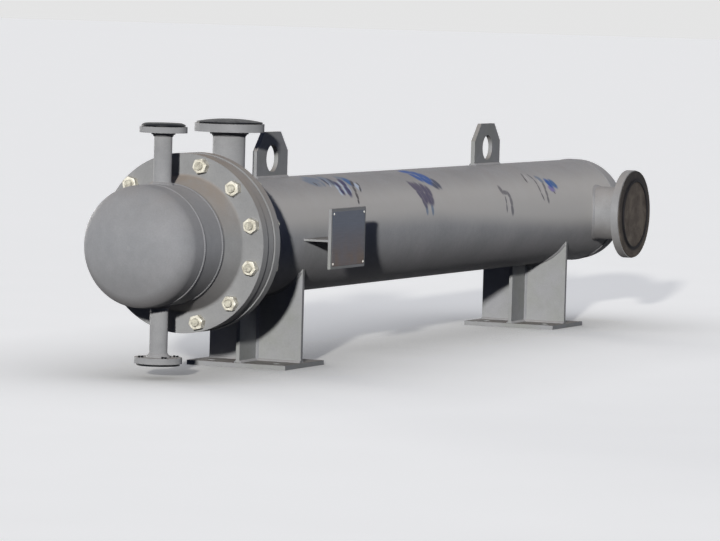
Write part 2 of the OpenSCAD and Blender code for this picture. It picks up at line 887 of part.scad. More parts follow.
module nameplate_backing() {
    color(primer) translate([front_lug_x - plate_run / 2, plate_face_y, axis_h + plate_rise - plate_h / 2])
        cube([plate_run, plate_t, plate_h]);
}

module nameplate() {
    color("silver")
        translate([front_lug_x - plate_run / 2 + plate_border, plate_face_y - nameplate_t,
                   axis_h + plate_rise - plate_h / 2 + plate_border])
            cube([plate_run - 2 * plate_border, nameplate_t, plate_h - 2 * plate_border]);
}

module nameplate_rivets() {
    rivet_x = plate_run / 2 - plate_border - rivet_inset;
    rivet_z = plate_h / 2 - plate_border - rivet_inset;
    color("silver") for (x = [-rivet_x, rivet_x], z = [-rivet_z, rivet_z])
        translate([front_lug_x + x, plate_face_y - nameplate_t, axis_h + plate_rise + z])
            rotate([90, 0, 0]) cylinder(d = rivet_d, h = rivet_h);
}

channel_head();
channel_barrel();
channel_flange();
channel_seam_welds();
channel_gasket();
tubesheet();
shell_gasket();
shell_flange();
shell_cylinder();
shell_head();
shell_seam_welds();
girth_studs();
girth_nuts_channel_side();
girth_nuts_shell_side();
channel_top_neck();
channel_top_flange();
channel_top_cover();
channel_underside_neck();
channel_underside_flange();
channel_underside_cover();
shell_top_neck();
shell_top_flange();
shell_top_cover();
shell_side_neck();
shell_side_flange();
shell_side_cover();
nozzle_welds();
front_lifting_lug();
rear_lifting_lug();
lug_welds();
front_saddle_web();
front_saddle_ribs();
front_saddle_base();
rear_saddle_web();
rear_saddle_ribs();
rear_saddle_base();
saddle_welds();
nameplate_shelf();
nameplate_backing();
nameplate();
nameplate_rivets();
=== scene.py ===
import logging
import math
from collections.abc import Callable
from dataclasses import dataclass
from enum import Enum
from functools import partial

import bmesh
import bpy
from mathutils import Matrix, Vector


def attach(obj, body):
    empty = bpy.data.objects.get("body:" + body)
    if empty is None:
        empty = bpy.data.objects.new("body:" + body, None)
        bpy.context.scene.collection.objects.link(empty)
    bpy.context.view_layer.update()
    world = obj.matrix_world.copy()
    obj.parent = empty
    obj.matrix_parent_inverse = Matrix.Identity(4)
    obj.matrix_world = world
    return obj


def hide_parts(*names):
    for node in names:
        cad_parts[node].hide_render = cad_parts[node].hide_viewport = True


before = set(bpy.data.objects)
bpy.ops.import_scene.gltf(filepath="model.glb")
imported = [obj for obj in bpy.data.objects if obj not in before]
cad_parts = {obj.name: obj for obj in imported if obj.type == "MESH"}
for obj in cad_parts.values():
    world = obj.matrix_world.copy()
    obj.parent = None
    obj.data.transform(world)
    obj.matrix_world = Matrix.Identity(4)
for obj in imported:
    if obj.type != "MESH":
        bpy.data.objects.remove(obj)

LOG = logging.getLogger("exchanger")
MM = 0.001
SHELL_R = 161.9
AXIS_H = 355.6

Point = tuple[float, float, float]
Span = tuple[float, float]
Path = list[tuple[Vector, Vector, Vector]]
Tree = bpy.types.NodeTree
Node = bpy.types.Node
Source = bpy.types.Node | bpy.types.NodeSocket
Piece = bpy.types.Object
Adder = Callable[..., Node]


# Shared helpers

def linear_rgba(code: str) -> tuple[float, float, float, float]:
    """Turns an sRGB hex colour into the linear values that a shader takes.

    Args:
        code: The colour as #rrggbb.

    Returns:
        Linear red, green and blue, and full opacity.
    """
    parts = [int(code[i:i + 2], 16) / 255 for i in (1, 3, 5)]
    line = [p / 12.92 if p <= 0.04045 else ((p + 0.055) / 1.055) ** 2.4 for p in parts]
    return (line[0], line[1], line[2], 1.0)


def per_mm(size: float) -> float:
    """Gives the texture scale at which a pattern's features measure this many millimetres."""
    return 1000.0 / size


def add_node(tree: Tree, kind: str, inputs: dict | tuple = (), **settings: object) -> Node:
    """Adds a node with its settings, and links each input that is given as a node or a socket.

    Args:
        tree: The node tree that takes the node.
        kind: The node's type; a shader node's type leaves out its first two words.
        inputs: The inputs by name or number, or a tuple that fills the first ones in order. Each is
            a value, a colour as #rrggbb, an output socket, or a node for its first live output.
        settings: The node's properties by name.

    Returns:
        The new node.
    """
    node = tree.nodes.new(kind if "Node" in kind else "ShaderNode" + kind)
    for name, value in settings.items():
        setattr(node, name, value)
    for name, value in inputs.items() if isinstance(inputs, dict) else enumerate(inputs):
        if isinstance(value, bpy.types.Node):
            value = next(output for output in value.outputs if output.enabled)
        if isinstance(value, bpy.types.NodeSocket):
            tree.links.new(value, node.inputs[name])
        else:
            plain = linear_rgba(value) if isinstance(value, str) else value
            node.inputs[name].default_value = plain
    return node


def solid_object(name: str, points: list[Vector], faces: list[tuple[int, ...]],
                 sharp_deg: float) -> Piece:
    """Makes a closed mesh in place, with merged doubles, outward faces and sharp edges kept.

    Args:
        name: The piece's name.
        points: The corners in millimetres, in the part's own frame.
        faces: The faces as corner numbers.
        sharp_deg: Edges that turn more than this stay sharp.

    Returns:
        The object, at the origin.
    """
    mesh = bpy.data.meshes.new(name)
    mesh.from_pydata([p * MM for p in points], [], faces)
    shaped = bmesh.new()
    shaped.from_mesh(mesh)
    bmesh.ops.remove_doubles(shaped, verts=shaped.verts, dist=1e-6)
    bmesh.ops.recalc_face_normals(shaped, faces=shaped.faces)
    shaped.to_mesh(mesh)
    shaped.free()
    mesh.shade_smooth()
    mesh.set_sharp_from_angle(angle=math.radians(sharp_deg))
    return placed(name, mesh)


def placed(name: str, data: bpy.types.ID | None) -> Piece:
    """Makes an object of this data and puts it in the scene.

    Args:
        name: The object's name.
        data: What it shows, if anything.

    Returns:
        The object.
    """
    piece = bpy.data.objects.new(name, data)
    bpy.context.scene.collection.objects.link(piece)
    return piece


class Ends(Enum):
    """How a grid of points ends: left open, filled at both ends, or joined round to its start."""

    OPEN = 0
    CAPPED = 1
    JOINED = 2


def grid_faces(rows: int, columns: int, ends: Ends) -> list[tuple[int, ...]]:
    """Gives the faces of a grid of points whose rows close on themselves.

    Args:
        rows: Number of rows of points.
        columns: Number of points in a row.
        ends: What happens at the first and the last row.

    Returns:
        The faces as corner numbers.
    """
    faces = []
    for r in range(rows if ends is Ends.JOINED else rows - 1):
        low, high = r * columns, (r + 1) % rows * columns
        for c in range(columns):
            d = (c + 1) % columns
            faces.append((low + c, low + d, high + d, high + c))
    if ends is Ends.CAPPED:
        last = (rows - 1) * columns
        faces += [tuple(reversed(range(columns))), tuple(range(last, last + columns))]
    return faces


def full_turn(count: int) -> list[float]:
    """Divides a full turn into this many angles."""
    return [2 * math.pi * k / count for k in range(count)]


def polar(r: float, angle: float, z: float) -> Vector:
    """Gives the point at a radius, an angle and a height."""
    return Vector((r * math.cos(angle), r * math.sin(angle), z))


def join_pieces(name: str, pieces: list[Piece]) -> Piece:
    """Joins pieces that stay together into one object.

    Args:
        name: The joined piece's name.
        pieces: The pieces, all at the origin.

    Returns:
        The joined object.
    """
    with bpy.context.temp_override(active_object=pieces[0], selected_editable_objects=pieces):
        bpy.ops.object.join()
    pieces[0].name = pieces[0].data.name = name
    return pieces[0]


def settle(piece: Piece, node: str) -> None:
    """Puts a finished piece on the vessel in the place of its plain solid.

    Args:
        piece: The finished piece.
        node: The plain solid that it stands for.
    """
    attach(piece, "root")
    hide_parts(node)
    LOG.info("%s: %d faces", piece.name, len(piece.data.polygons))


def laid_over(add: Adder, under: Source | str, colour: str, source: Source, span: Span,
              most: float = 1.0, curve: str = "LINEAR") -> Node:
    """Lays a colour over another as a source runs across a span, up to its most."""
    share = add("MapRange", (source, *span, 0.0, most), interpolation_type=curve)
    return add("Mix", {"Factor": share, 6: under, 7: colour}, data_type="RGBA")


def laid_where(add: Adder, under: Source | str, colour: str, one: Source, other: Source,
               clamp: bool = False) -> Node:
    """Lays a colour over another in the share that two sources give together."""
    share = add("Math", (one, other), operation="MULTIPLY", use_clamp=clamp)
    return add("Mix", {"Factor": share, 6: under, 7: colour}, data_type="RGBA")


def shaded(add: Adder, colour: Source, pattern: Source, span: Span, shades: Span) -> Node:
    """Multiplies a colour by the first to the second shade as a pattern runs across its span."""
    shade = add("MapRange", (pattern, *span, *shades))
    return add("VectorMath", {0: colour, "Scale": shade}, operation="SCALE")


def facing_up(add: Adder) -> Source:
    """Gives how far the surface faces up, from -1 to 1."""
    normal = add("NewGeometry").outputs["Normal"]
    return add("SeparateXYZ", (normal,)).outputs["Z"]


def seen_share(add: Adder) -> Node:
    """Tells what is seen, directly or in a gloss, from what only lights.

    Args:
        add: Adds a node to the tree.

    Returns:
        The node that gives 1 where something is seen, and 0 where it only lights.
    """
    path = add("LightPath").outputs
    seen = add("Math", (path["Is Camera Ray"], path["Is Glossy Ray"]), operation="MAXIMUM")
    return add("Math", (seen, path["Is Transmission Ray"]), operation="MAXIMUM")


# Finishes

@dataclass(frozen=True)
class Finish:
    """What all finishes share: a name, and a material that is made once."""

    name: str

    def material(self) -> bpy.types.Material:
        """Gives the finish's material, made the first time that it is asked for.

        Returns:
            The material.
        """
        known = bpy.data.materials.get(self.name)
        if known:
            return known
        made = bpy.data.materials.new(self.name)
        made.use_nodes = True
        made.node_tree.nodes.clear()
        add = partial(add_node, made.node_tree)
        place = add("TexCoord").outputs["Object"]
        add("OutputMaterial", {"Surface": self.surface(add, place)})
        return made

    def surface(self, add: Adder, place: Source) -> Node:
        """Builds the finish's shader; each finish has its own."""
        raise NotImplementedError

    @staticmethod
    def skin(add: Adder, colour: Source, pattern: Source, relief: Span, own: dict,
             spread: Span | None = None, edge_mm: float = 0.0) -> Node:
        """Ends a finish with its relief and its shader.

        Args:
            add: Adds a node to the material.
            colour: The finished colour.
            pattern: What stands out of the surface.
            relief: The relief's strength, and its depth in millimetres.
            own: The shader's other inputs.
            spread: How far the pattern takes the roughness down and up, where it does.
            edge_mm: The radius that rounds the edges, where it does.

        Returns:
            The shader.
        """
        bump = {"Strength": relief[0], "Distance": relief[1] * MM, "Height": pattern}
        if edge_mm:
            bump["Normal"] = add("Bevel", {"Radius": edge_mm * MM}, samples=4)
        if spread:
            ends = [own["Roughness"] + change for change in spread]
            own["Roughness"] = add("MapRange", (pattern, 0.3, 0.7, *ends))
        own["Normal"] = add("Bump", bump)
        return add("BsdfPrincipled", {"Base Color": colour, **own})


@dataclass(frozen=True)
class SprayedPrimer(Finish):
    """Grey alkyd shop primer, sprayed on blasted steel."""

    # The eye sees a flat, almost matt grey that is cloudy where the passes of the gun overlap,
    # with a faint dry grain, rounded paint edges, a warm bloom of dust where it can settle, and
    # painted shade that darkens the faces that look down.
    colour: str = "#8a8c90"
    overlap: str = "#949599"
    dust: str = "#93867a"
    dust_share: float = 0.25
    pass_mm: float = 170.0
    mottle_mm: float = 22.0
    # A real dry spray grain is under 1 mm; it is drawn coarser so that it shows
    grain_mm: float = 4.0
    drift_mm: float = 60.0
    peel_mm: float = 7.0
    edge_mm: float = 1.5
    # Painted shade: its colour, and how much of it the faces that look straight down take
    low_tone: str = "#4a4441"
    underside_shade_share: float = 0.55
    nap: float = 0.35
    roughness: float = 0.56
    gloss: float = 0.04

    def coat(self, add: Adder, place: Source) -> Node:
        """Mixes the primer's own tones.

        Args:
            add: Adds a node to the material.
            place: The place on the piece.

        Returns:
            The node that gives the coat's colour.
        """
        clouds, mottle, grain = (add("TexNoise", {
            "Vector": place, "Scale": per_mm(size), "Detail": detail, "Roughness": roughness})
            for size, detail, roughness in (
                (self.pass_mm, 3.0, 0.55), (self.mottle_mm, 4.0, 0.6), (self.grain_mm, 2.0, 0.5)))
        tone = laid_over(add, self.colour, self.overlap, clouds, (0.35, 0.65))
        both = add("Math", (mottle, grain), operation="ADD")
        return shaded(add, tone, both, (0.6, 1.4), (0.93, 1.07))

    def surface(self, add: Adder, place: Source) -> Node:
        """Adds painted shade on the faces that look down, dust and relief to the coat.

        Args:
            add: Adds a node to the material.
            place: The place on the piece.

        Returns:
            The shader.
        """
        rise = facing_up(add)
        # Painted shade, from faces that look a little up to the faces that look down
        underside_shaded = laid_over(add, self.coat(add, place), self.low_tone, rise, (0.1, -0.9),
                          self.underside_shade_share, "SMOOTHSTEP")
        drift = add("TexNoise", {
            "Vector": place, "Scale": per_mm(self.drift_mm), "Detail": 5.0, "Roughness": 0.65})
        upward = add("MapRange", (rise, 0.1, 0.9, 0.0, self.dust_share))
        patchy = add("MapRange", (drift, 0.3, 0.6, 0.5, 1.0))
        dusty = laid_where(add, underside_shaded, self.dust, upward, patchy, clamp=True)
        peel = add("TexNoise", {
            "Vector": place, "Scale": per_mm(self.peel_mm), "Detail": 2.0, "Roughness": 0.5})
        return self.skin(add, dusty, peel, (0.2, 0.25), {
            "Roughness": self.roughness, "Diffuse Roughness": self.nap,
            "Specular IOR Level": self.gloss}, (-0.05, 0.07), self.edge_mm)


class Rub(Enum):
    """What a rub mark is made of: its colour, then its strokes.

    Each stroke is its width and the places that it runs through, in millimetres along the shell
    and up its round from the near side.
    """

    HAZE = ("#6c7c92", (62, 206, 212, 260, 199), (60, 175, 194, 224, 178),
        (70, 303, 210, 316, 173), (50, 406, 208, 442, 172), (22, 260, 186, 241, 164),
        (22, 824, 68, 814, 43), (22, 866, 70, 854, 40), (34, 1774, 139, 1801, 122))
    BLOOM = ("#4c4b66", (34, 812, 155, 816, 121, 819, 90, 822, 64),
        (40, 830, 148, 830, 114, 828, 83), (46, 849, 146, 847, 113, 835, 79),
        (46, 879, 139, 872, 108, 858, 76), (40, 901, 130, 889, 98, 869, 74))
    LILAC = ("#7a74a8", (34, 1818, 95, 1853, 89))
    SCRAPE = ("#b4c0d4", (16, 298, 194, 275, 159), (18, 323, 176, 299, 139, 293, 124),
        (17, 362, 183, 348, 154, 329, 126), (14, 395, 181, 378, 149, 364, 129),
        (34, 451, 162, 437, 140))
    POLISH = ("#b6b4b6", (18, 1458, 74, 1452, 53, 1442, 27), (14, 1705, 154, 1699, 124),
        (20, 1775, 132, 1764, 97, 1753, 76))
    SMUDGE = ("#6c6c73", (32, 1430, 111, 1431, 90), (22, 1433, 91, 1468, 90),
        (28, 1468, 90, 1474, 74, 1467, 47, 1461, 21), (12, 1438, 78, 1428, 54, 1419, 28),
        (14, 1694, 159, 1680, 141), (15, 1734, 155, 1744, 130, 1741, 110, 1732, 81, 1738, 56),
        (22, 1794, 115, 1780, 90, 1773, 67, 1769, 48), (12, 1839, 81, 1847, 75))
    SLATE = ("#33425f", (22, 296, 204, 276, 167), (24, 334, 202, 312, 166),
        (40, 996, 160, 998, 127), (40, 958, 147, 980, 127))
    TEAL = ("#1d5a94", (44, 437, 195, 415, 161), (40, 1858, 120, 1884, 99))
    DYE = ("#00509c", (46, 894, 220, 943, 220), (40, 939, 222, 938, 198), (46, 962, 210, 948, 176),
        (46, 908, 195, 918, 161), (46, 974, 193, 972, 155), (44, 935, 170, 953, 144),
        (40, 1827, 123, 1852, 102))
    INK = ("#121f5c", (26, 339, 180, 320, 148, 309, 126), (34, 393, 192, 368, 156, 343, 119))
    SCUFF = ("#3e3f49", (14, 203, 183, 201, 169), (18, 452, 180, 415, 152, 396, 130, 377, 104),
        (12, 377, 104, 364, 90), (12, 468, 169, 459, 152, 431, 130), (14, 1680, 141, 1675, 122))

    def cover(self, add: Adder, flat: Source) -> Source:
        """Measures how deep in the strokes a place lies.

        Args:
            add: Adds a node to the material.
            flat: The place on the unrolled shell.

        Returns:
            1 on the middle of a stroke's ellipse, 0 at its outline and beyond.
        """
        deepest: Source | None = None
        for width, *way in self.value[1:]:
            for x, y, end_x, end_y in zip(way[::2], way[1::2], way[2::2], way[3::2]):
                reach = 0.6 * math.hypot(end_x - x, end_y - y) + 0.3 * width
                own = add("Mapping", {
                    "Vector": flat, "Rotation": (0.0, 0.0, math.atan2(end_y - y, end_x - x)),
                    "Location": ((x + end_x) / 2 * MM, (y + end_y) / 2 * MM, 0.0),
                    "Scale": (reach * MM, width / 2 * MM, 1.0)}, vector_type="TEXTURE")
                one = add("TexGradient", (own,), gradient_type="SPHERICAL")
                deepest = one.outputs["Fac"] if deepest is None else add(
                    "Math", (deepest, one.outputs["Fac"]), operation="MAXIMUM")
        return deepest


@dataclass(frozen=True)
class ScuffedPrimer(SprayedPrimer):
    """The shell's primer, rubbed through to blues and greys where something dragged round it."""

    # The eye sees short bright and dark strokes that run round the shell, each one streaky, on a
    # primer with a painted band of light on its upper sides, which reaches further down towards
    # the far end.
    streak_mm: float = 5.0
    streak_run_mm: float = 90.0
    # Painted light: a paler band on the upper sides, reaching further down from near to far
    lit_band: str = "#afaeae"
    lit_band_sink: float = 0.4
    lit_band_near: float = 900.0
    lit_band_far: float = 1950.0

    def unrolled(self, add: Adder, place: Source) -> Node:
        """Unrolls the shell's round, so that strokes can be placed by millimetres.

        Args:
            add: Adds a node to the material.
            place: The place on the piece.

        Returns:
            The node that gives metres along the shell and up its round.
        """
        axes = add("SeparateXYZ", (place,)).outputs
        rise = add("Math", (axes["Z"], AXIS_H * MM), operation="SUBTRACT")
        near = add("Math", (axes["Y"], -1.0), operation="MULTIPLY")
        angle = add("Math", (rise, near), operation="ARCTAN2")
        arc = add("Math", (angle, SHELL_R * MM), operation="MULTIPLY")
        return add("CombineXYZ", (axes["X"], arc))

    def coat(self, add: Adder, place: Source) -> Node:
        """Lays a painted band of light and the rub marks over the primer's own tones.

        Args:
            add: Adds a node to the material.
            place: The place on the piece.

        Returns:
            The node that gives the coat's colour.
        """
        rise = facing_up(add)
        along = add("SeparateXYZ", (place,)).outputs["X"]
        # Painted light on faces that rise a little, reaching lower on the round towards the far end
        sink = add("MapRange", (
            along, self.lit_band_near * MM, self.lit_band_far * MM, 0.0, self.lit_band_sink))
        hung = add("Math", (rise, sink), operation="ADD")
        slant = add("MapRange", (hung, -0.02, 0.4), interpolation_type="SMOOTHSTEP")
        steep = add("MapRange", (rise, 1.0, 0.55), interpolation_type="SMOOTHSTEP")
        colour = laid_where(add, super().coat(add, place), self.lit_band, slant, steep)
        flat = self.unrolled(add, place)
        dragged = add("Mapping", {
            "Vector": flat, "Rotation": (0.0, 0.0, math.radians(-20.0)),
            "Scale": (per_mm(self.streak_mm), per_mm(self.streak_run_mm), 1.0)})
        streaks = add("TexNoise", {
            "Vector": dragged, "Scale": 1.0, "Detail": 3.0, "Roughness": 0.6})
        bite = add("MapRange", (streaks, 0.32, 0.52, 0.78, 1.0))
        for rub in Rub:
            full = add("MapRange", (rub.cover(add, flat), 0.0, 0.55),
                       interpolation_type="SMOOTHSTEP")
            colour = laid_where(add, colour, rub.value[0], full, bite)
        return colour


@dataclass(frozen=True)
class ZincPlate(Finish):
    """Zinc-plated carbon steel with a pale yellow passivate, forged and then plated."""

    # The eye sees creamy grey metal with soft, broken highlights and darker spots.
    colour: str = "#e8e5d8"
    spot: str = "#aea99c"
    spot_mm: float = 11.0
    edge_mm: float = 0.8
    roughness: float = 0.52

    def surface(self, add: Adder, place: Source) -> Node:
        """Spots the plating and breaks its gloss.

        Args:
            add: Adds a node to the material.
            place: The place on the piece.

        Returns:
            The shader.
        """
        spots = add("TexNoise", {
            "Vector": place, "Scale": per_mm(self.spot_mm), "Detail": 4.0, "Roughness": 0.6})
        tone = laid_over(add, self.colour, self.spot, spots, (0.42, 0.64))
        return self.skin(add, tone, spots, (0.3, 0.2), {
            "Metallic": 0.2, "Roughness": self.roughness}, (-0.1, 0.15), self.edge_mm)


@dataclass(frozen=True)
class MouldedCap(Finish):
    """Black low-density polyethylene, injection moulded."""

    # The eye sees a deep black with a waxy gloss, faint flow lines round it and dust on top.
    colour: str = "#0d1016"
    dust: str = "#3c3d42"
    dust_share: float = 0.15
    flow_mm: float = 14.0
    roughness: float = 0.45

    def surface(self, add: Adder, place: Source) -> Node:
        """Adds flow lines and dust to the black.

        Args:
            add: Adds a node to the material.
            place: The place on the piece.

        Returns:
            The shader.
        """
        flow = add("TexNoise", {
            "Vector": place, "Scale": per_mm(self.flow_mm), "Detail": 3.0, "Distortion": 0.6})
        upward = add("MapRange", (facing_up(add), 0.3, 1.0, 0.0, self.dust_share))
        tone = laid_where(add, self.colour, self.dust, upward, flow)
        return self.skin(add, tone, flow, (0.15, 0.2), {
            "Roughness": self.roughness, "Specular IOR Level": 0.14}, (-0.06, 0.12))


@dataclass(frozen=True)
class DustyCover(Finish):
    """Black polyethylene disc, injection moulded, with road dust caked inside its rib."""

    # The eye sees a near black rib, and on both sides of it a brown-grey face with blotches of
    # dry mud; from the rib outwards it is darker, partly the plastic's own black and partly
    # painted shade, which is deepest at its top.
    colour: str = "#57504a"
    mud: str = "#6f675f"
    damp: str = "#3a3430"
    # The plastic's own black, deepened by painted shade from the rib outwards
    rim: str = "#1e1d20"
    middle: Point = (2220.0, 0.0, AXIS_H)
    panel_r: float = 103.6
    panel_edge: float = 0.4
    ring_r: float = 112.0
    edge_r: float = 120.0
    # How much of that dark stays at the outer edge, from the bottom to the top, where painted shade
    # is deepest
    rim_shade_share: Span = (0.1, 0.8)
    blotch_mm: float = 55.0
    fibre_mm: float = 5.0
    roughness: float = 0.7

    def ring(self, add: Adder, place: Source) -> tuple[Node, Node]:
        """Marks the rib and what lies outside it.

        Args:
            add: Adds a node to the material.
            place: The place on the piece.

        Returns:
            Where the dark rib starts, and how its dark fades outwards, least at the top, where
            painted shade is deepest.
        """
        out = add("VectorMath", (place, tuple(p * MM for p in self.middle)), operation="SUBTRACT")
        flat = add("VectorMath", (out, (1.0, 0.0, 1.0)), operation="MULTIPLY")
        away = add("VectorMath", (flat,), operation="LENGTH")
        beyond = add("MapRange", (away, (self.panel_r - self.panel_edge) * MM, self.panel_r * MM))
        height = add("SeparateXYZ", (out,)).outputs["Z"]
        edge = add("MapRange", (height, -self.ring_r * MM, self.ring_r * MM, *self.rim_shade_share))
        return beyond, add("MapRange", (away, self.ring_r * MM, self.edge_r * MM, 1.0, edge))

    def surface(self, add: Adder, place: Source) -> Node:
        """Blotches the panel with mud and damp, darkens the rim with its own black and painted
        shade.

        Args:
            add: Adds a node to the material.
            place: The place on the piece.

        Returns:
            The shader.
        """
        blotch = add("TexNoise", {
            "Vector": place, "Scale": per_mm(self.blotch_mm), "Detail": 5.0, "Roughness": 0.65,
            "Distortion": 0.4})
        fibre = add("TexNoise", {
            "Vector": place, "Scale": per_mm(self.fibre_mm), "Detail": 3.0, "Roughness": 0.6})
        muddy = laid_over(add, self.colour, self.mud, blotch, (0.48, 0.62))
        tone = laid_over(add, muddy, self.damp, blotch, (0.45, 0.32), 0.7)
        ringed = laid_where(add, tone, self.rim, *self.ring(add, place))
        flecked = shaded(add, ringed, fibre, (0.3, 0.7), (0.88, 1.1))
        return self.skin(add, flecked, fibre, (0.3, 0.3), {
            "Roughness": self.roughness, "Specular IOR Level": 0.14})


@dataclass(frozen=True)
class GasketSheet(Finish):
    """Compressed fibre gasket sheet, stamped into rings."""

    # The eye sees a thin matt dark band, speckled with paler fibres.
    colour: str = "#3d4140"
    fibre: str = "#6d716e"
    fibre_mm: float = 3.0
    roughness: float = 0.85

    def surface(self, add: Adder, place: Source) -> Node:
        """Specks the sheet with its fibres.

        Args:
            add: Adds a node to the material.
            place: The place on the piece.

        Returns:
            The shader.
        """
        fibres = add("TexNoise", {
            "Vector": place, "Scale": per_mm(self.fibre_mm), "Detail": 4.0, "Roughness": 0.7})
        tone = laid_over(add, self.colour, self.fibre, fibres, (0.5, 0.7))
        return self.skin(add, tone, fibres, (0.3, 0.2), {"Roughness": self.roughness})


@dataclass(frozen=True)
class DullStainless(Finish):
    """Thin austenitic stainless sheet, brushed lengthways and gone dull in the yard."""

    # The eye sees a blue-grey sheet, streaked along its length and browner near its foot; part of
    # its blue is a painted reflection of the sky.
    # Blue-grey, partly a painted reflection of the sky
    colour: str = "#444d5f"
    # The browner tone laid on towards the foot
    low_tone: str = "#6d615b"
    brush_mm: float = 1.6
    brush_run_mm: float = 45.0
    patch_mm: float = 40.0
    low_tone_full: float = 300.0
    low_tone_none: float = 400.0
    roughness: float = 0.42
    low_tone_roughness: float = 0.3

    def surface(self, add: Adder, place: Source) -> Node:
        """Brushes the sheet and makes its foot browner and rougher.

        Args:
            add: Adds a node to the material.
            place: The place on the piece.

        Returns:
            The shader.
        """
        run = per_mm(self.brush_run_mm)
        lengthways = add("Mapping", {"Vector": place, "Scale": (run, run, per_mm(self.brush_mm))})
        brushed = add("TexNoise", {
            "Vector": lengthways, "Scale": 1.0, "Detail": 3.0, "Roughness": 0.6})
        patch = add("TexNoise", {
            "Vector": place, "Scale": per_mm(self.patch_mm), "Detail": 4.0, "Roughness": 0.6})
        height = add("SeparateXYZ", (place,)).outputs["Z"]
        low = add("MapRange", (height, self.low_tone_none * MM, self.low_tone_full * MM))
        patchy = add("MapRange", (patch, 0.3, 0.6, 0.5))
        footward = add("Math", (low, patchy), operation="MULTIPLY", use_clamp=True)
        tone = add("Mix", {"Factor": footward, 6: self.colour, 7: self.low_tone}, data_type="RGBA")
        streaked = shaded(add, tone, brushed, (0.3, 0.7), (0.85, 1.12))
        dulled = add("MapRange", (
            footward, 0.0, 1.0, self.roughness, self.roughness + self.low_tone_roughness))
        return self.skin(add, streaked, brushed, (0.15, 0.05), {
            "Metallic": 0.3, "Roughness": dulled})


@dataclass(frozen=True)
class PaleFloor(Finish):
    """Pale screed of the studio floor, which keeps the vessel's shadow."""

    # The eye sees an even, nearly white floor with a faint mottle and a soft shadow.
    colour: str = "#d8d7d4"
    bounce: str = "#3d3c44"
    lift: float = 0.56
    shade_reach: float = 900.0
    shade_power: float = 1.6
    mottle_mm: float = 350.0

    def surface(self, add: Adder, place: Source) -> Node:
        """Lifts the floor where it is looked at, and keeps its bounce low on the vessel.

        Args:
            add: Adds a node to the material.
            place: The place on the piece.

        Returns:
            The shader.
        """
        mottle = add("TexNoise", {
            "Vector": place, "Scale": per_mm(self.mottle_mm), "Detail": 4.0, "Roughness": 0.5})
        seen = seen_share(add)
        colour = add("Mix", {"Factor": seen, 6: self.bounce, 7: self.colour}, data_type="RGBA")
        matt = add("BsdfDiffuse", (shaded(add, colour, mottle, (0.3, 0.7), (0.97, 1.03)),))
        # Painted shade: the glow dims where the vessel hides the sky, a contact shadow under and
        # round it
        open_sky = add("AmbientOcclusion", {"Distance": self.shade_reach * MM},
                       samples=4).outputs["AO"]
        kept = add("Math", (open_sky, self.shade_power), operation="POWER")
        lift = add("Math", (kept, self.lift), operation="MULTIPLY")
        strength = add("Math", (seen, lift), operation="MULTIPLY")
        glow = add("Emission", ("#ffffff", strength))
        return add("AddShader", (matt, glow))


VESSEL = SprayedPrimer("alkyd primer on the channel")
SHELL = ScuffedPrimer("alkyd primer on the shell, rubbed")
FLANGE = SprayedPrimer("alkyd primer on the girth flanges", colour="#8a8b8d", overlap="#949597",
                       dust_share=0.75)
NOZZLE = SprayedPrimer("alkyd primer on the nozzles", colour="#8e8f92", overlap="#98999c",
                       dust_share=0.35, pass_mm=70.0)
PLATEWORK = SprayedPrimer("alkyd primer on the platework", colour="#8e908f", dust_share=0.5,
                          pass_mm=110.0, nap=0.0)
WELD = SprayedPrimer("alkyd primer on the welds", pass_mm=40.0, mottle_mm=9.0, edge_mm=0.4)
ZINC = ZincPlate("passivated zinc on the nuts")
STUD_ZINC = ZincPlate("passivated zinc on the studs", colour="#cbc8b9", spot="#99958a",
                      spot_mm=8.0)
RIVET = ZincPlate("bright zinc on the drive rivets", colour="#f0eee8", spot="#cfccc4",
                  spot_mm=3.0)
CAP = MouldedCap("moulded polyethylene of the caps")
COVER = DustyCover("dusty moulded polyethylene of the side cover")
GASKET = GasketSheet("compressed fibre of the gaskets")
STAINLESS = DullStainless("dull stainless of the nameplate")


# Sub-assemblies

class Facing(Enum):
    """Which way a circle of bolts faces, as its turn about the cross axis in degrees."""

    ALONG_SHELL = 90.0
    TO_CHANNEL = -90.0


def open_tree(name: str, sockets: dict[str, str]) -> tuple[Tree, Adder, bpy.types.NodeOutputs]:
    """Starts a geometry tree that takes named sizes and gives geometry.

    Args:
        name: The tree's name.
        sockets: Each input's name and type.

    Returns:
        The tree, what adds a node to it, and its inputs as sockets.
    """
    tree = bpy.data.node_groups.new(name, "GeometryNodeTree")
    for title, kind in sockets.items():
        tree.interface.new_socket(title, in_out="INPUT", socket_type="NodeSocket" + kind)
    tree.interface.new_socket("Geometry", in_out="OUTPUT", socket_type="NodeSocketGeometry")
    add = partial(add_node, tree)
    return tree, add, add("NodeGroupInput").outputs


def close_tree(add: Adder, geometry: Source, turn: Source | Point, place: Source,
               finish: Source) -> None:
    """Ends a geometry tree: moves its result to its place, makes it real and dresses it.

    Args:
        add: Adds a node to the tree.
        geometry: What the tree has made.
        turn: How that is turned, in radians.
        place: Where it goes.
        finish: The finish that it takes.
    """
    stood = add("GeometryNodeTransform", {
        "Geometry": geometry, "Rotation": turn, "Translation": place})
    plain = add("GeometryNodeRealizeInstances", (stood,))
    dressed = add("GeometryNodeSetMaterial", {"Geometry": plain, "Material": finish})
    add("NodeGroupOutput", (dressed,))


